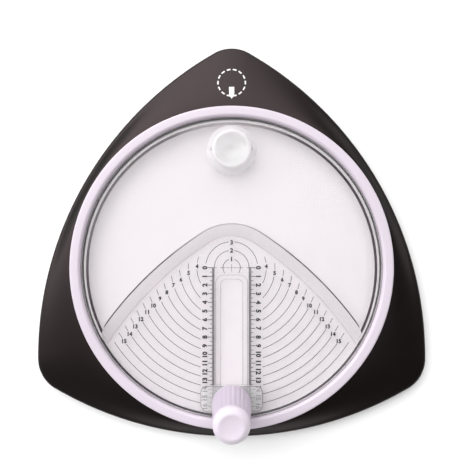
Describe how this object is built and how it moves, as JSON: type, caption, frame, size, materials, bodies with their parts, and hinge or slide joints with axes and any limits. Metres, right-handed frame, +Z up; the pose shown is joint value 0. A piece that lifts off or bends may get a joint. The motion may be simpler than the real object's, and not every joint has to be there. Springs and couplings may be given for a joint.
{
  "type": "circle cutter",
  "caption": "Desk circle cutter for paper: a clear printed disc turns in a ring over a three-cornered base, and a sprung blade slides along its slot to set the size.",
  "frame": {"origin": "on the table, under the middle of the base", "axes": "+Z up; +Y towards the corner with the badge, +X to the right seen from above with that corner away; the slot runs towards -Y"},
  "size_m": [0.23, 0.2302, 0.059],
  "materials": {
    "charcoal_shell": "smooth near-black plastic with a soft shine",
    "base_cover": "fine matt black plastic",
    "mat": "smooth white self-healing sheet",
    "foot": "black rubber",
    "steel_screw": "bright zinc-plated steel",
    "lilac": "pale lilac plastic, satin",
    "lilac_grip": "pale lilac plastic, satin, with flutes",
    "clear": "clear moulded plastic",
    "spring_steel": "spring wire",
    "blade_steel": "ground steel blade"
  },
  "bodies": {
    "base": {"base_shell": "charcoal_shell", "base_plate": "base_cover", "cutting_mat": "mat", "base_screw_1": "steel_screw", "base_screw_2": "steel_screw", "base_screw_3": "steel_screw", "base_screw_4": "steel_screw", "base_screw_5": "steel_screw", "base_screw_6": "steel_screw", "rubber_foot_1": "foot", "rubber_foot_2": "foot", "rubber_foot_3": "foot"},
    "frame": {"bearing_ring": "lilac", "retainer_ring": "lilac", "ring_screw_1": "steel_screw", "ring_screw_2": "steel_screw", "ring_screw_3": "steel_screw", "ring_screw_4": "steel_screw", "ring_screw_5": "steel_screw", "ring_screw_6": "steel_screw"},
    "disc": {"clear_disc": "clear"},
    "finger_knob": {"finger_knob": "clear", "finger_washer": "clear"},
    "carriage": {"slider_shoe": "clear", "slider_keeper": "clear", "keeper_screw_1": "steel_screw", "keeper_screw_2": "steel_screw", "return_spring": "spring_steel"},
    "press": {"press_handle": "lilac_grip", "handle_cap": "lilac", "blade_holder": "lilac", "blade": "blade_steel", "blade_screw": "steel_screw", "handle_screw": "steel_screw"}
  },
  "joints": [
    {"name": "frame_lift", "type": "slide", "parent": "base", "child": "frame", "axis": [0, 0, 1], "range_m": [0, 0.04]},
    {"name": "disc_spin", "type": "hinge", "parent": "frame", "child": "disc", "pos_m": [0, -0.01445, 0.0145], "axis": [0, 0, 1], "continuous": true},
    {"name": "finger_knob_spin", "type": "hinge", "parent": "disc", "child": "finger_knob", "pos_m": [0, 0.05275, 0.021], "axis": [0, 0, 1], "continuous": true},
    {"name": "carriage_slide", "type": "slide", "parent": "disc", "child": "carriage", "axis": [0, 1, 0], "range_m": [0, 0.0639]},
    {"name": "press", "type": "slide", "parent": "carriage", "child": "press", "axis": [0, 0, -1], "range_m": [0, 0.0025], "stiffness_N_per_m": 600, "springref_m": -0.003, "deforming": ["return_spring"]}
  ]
}
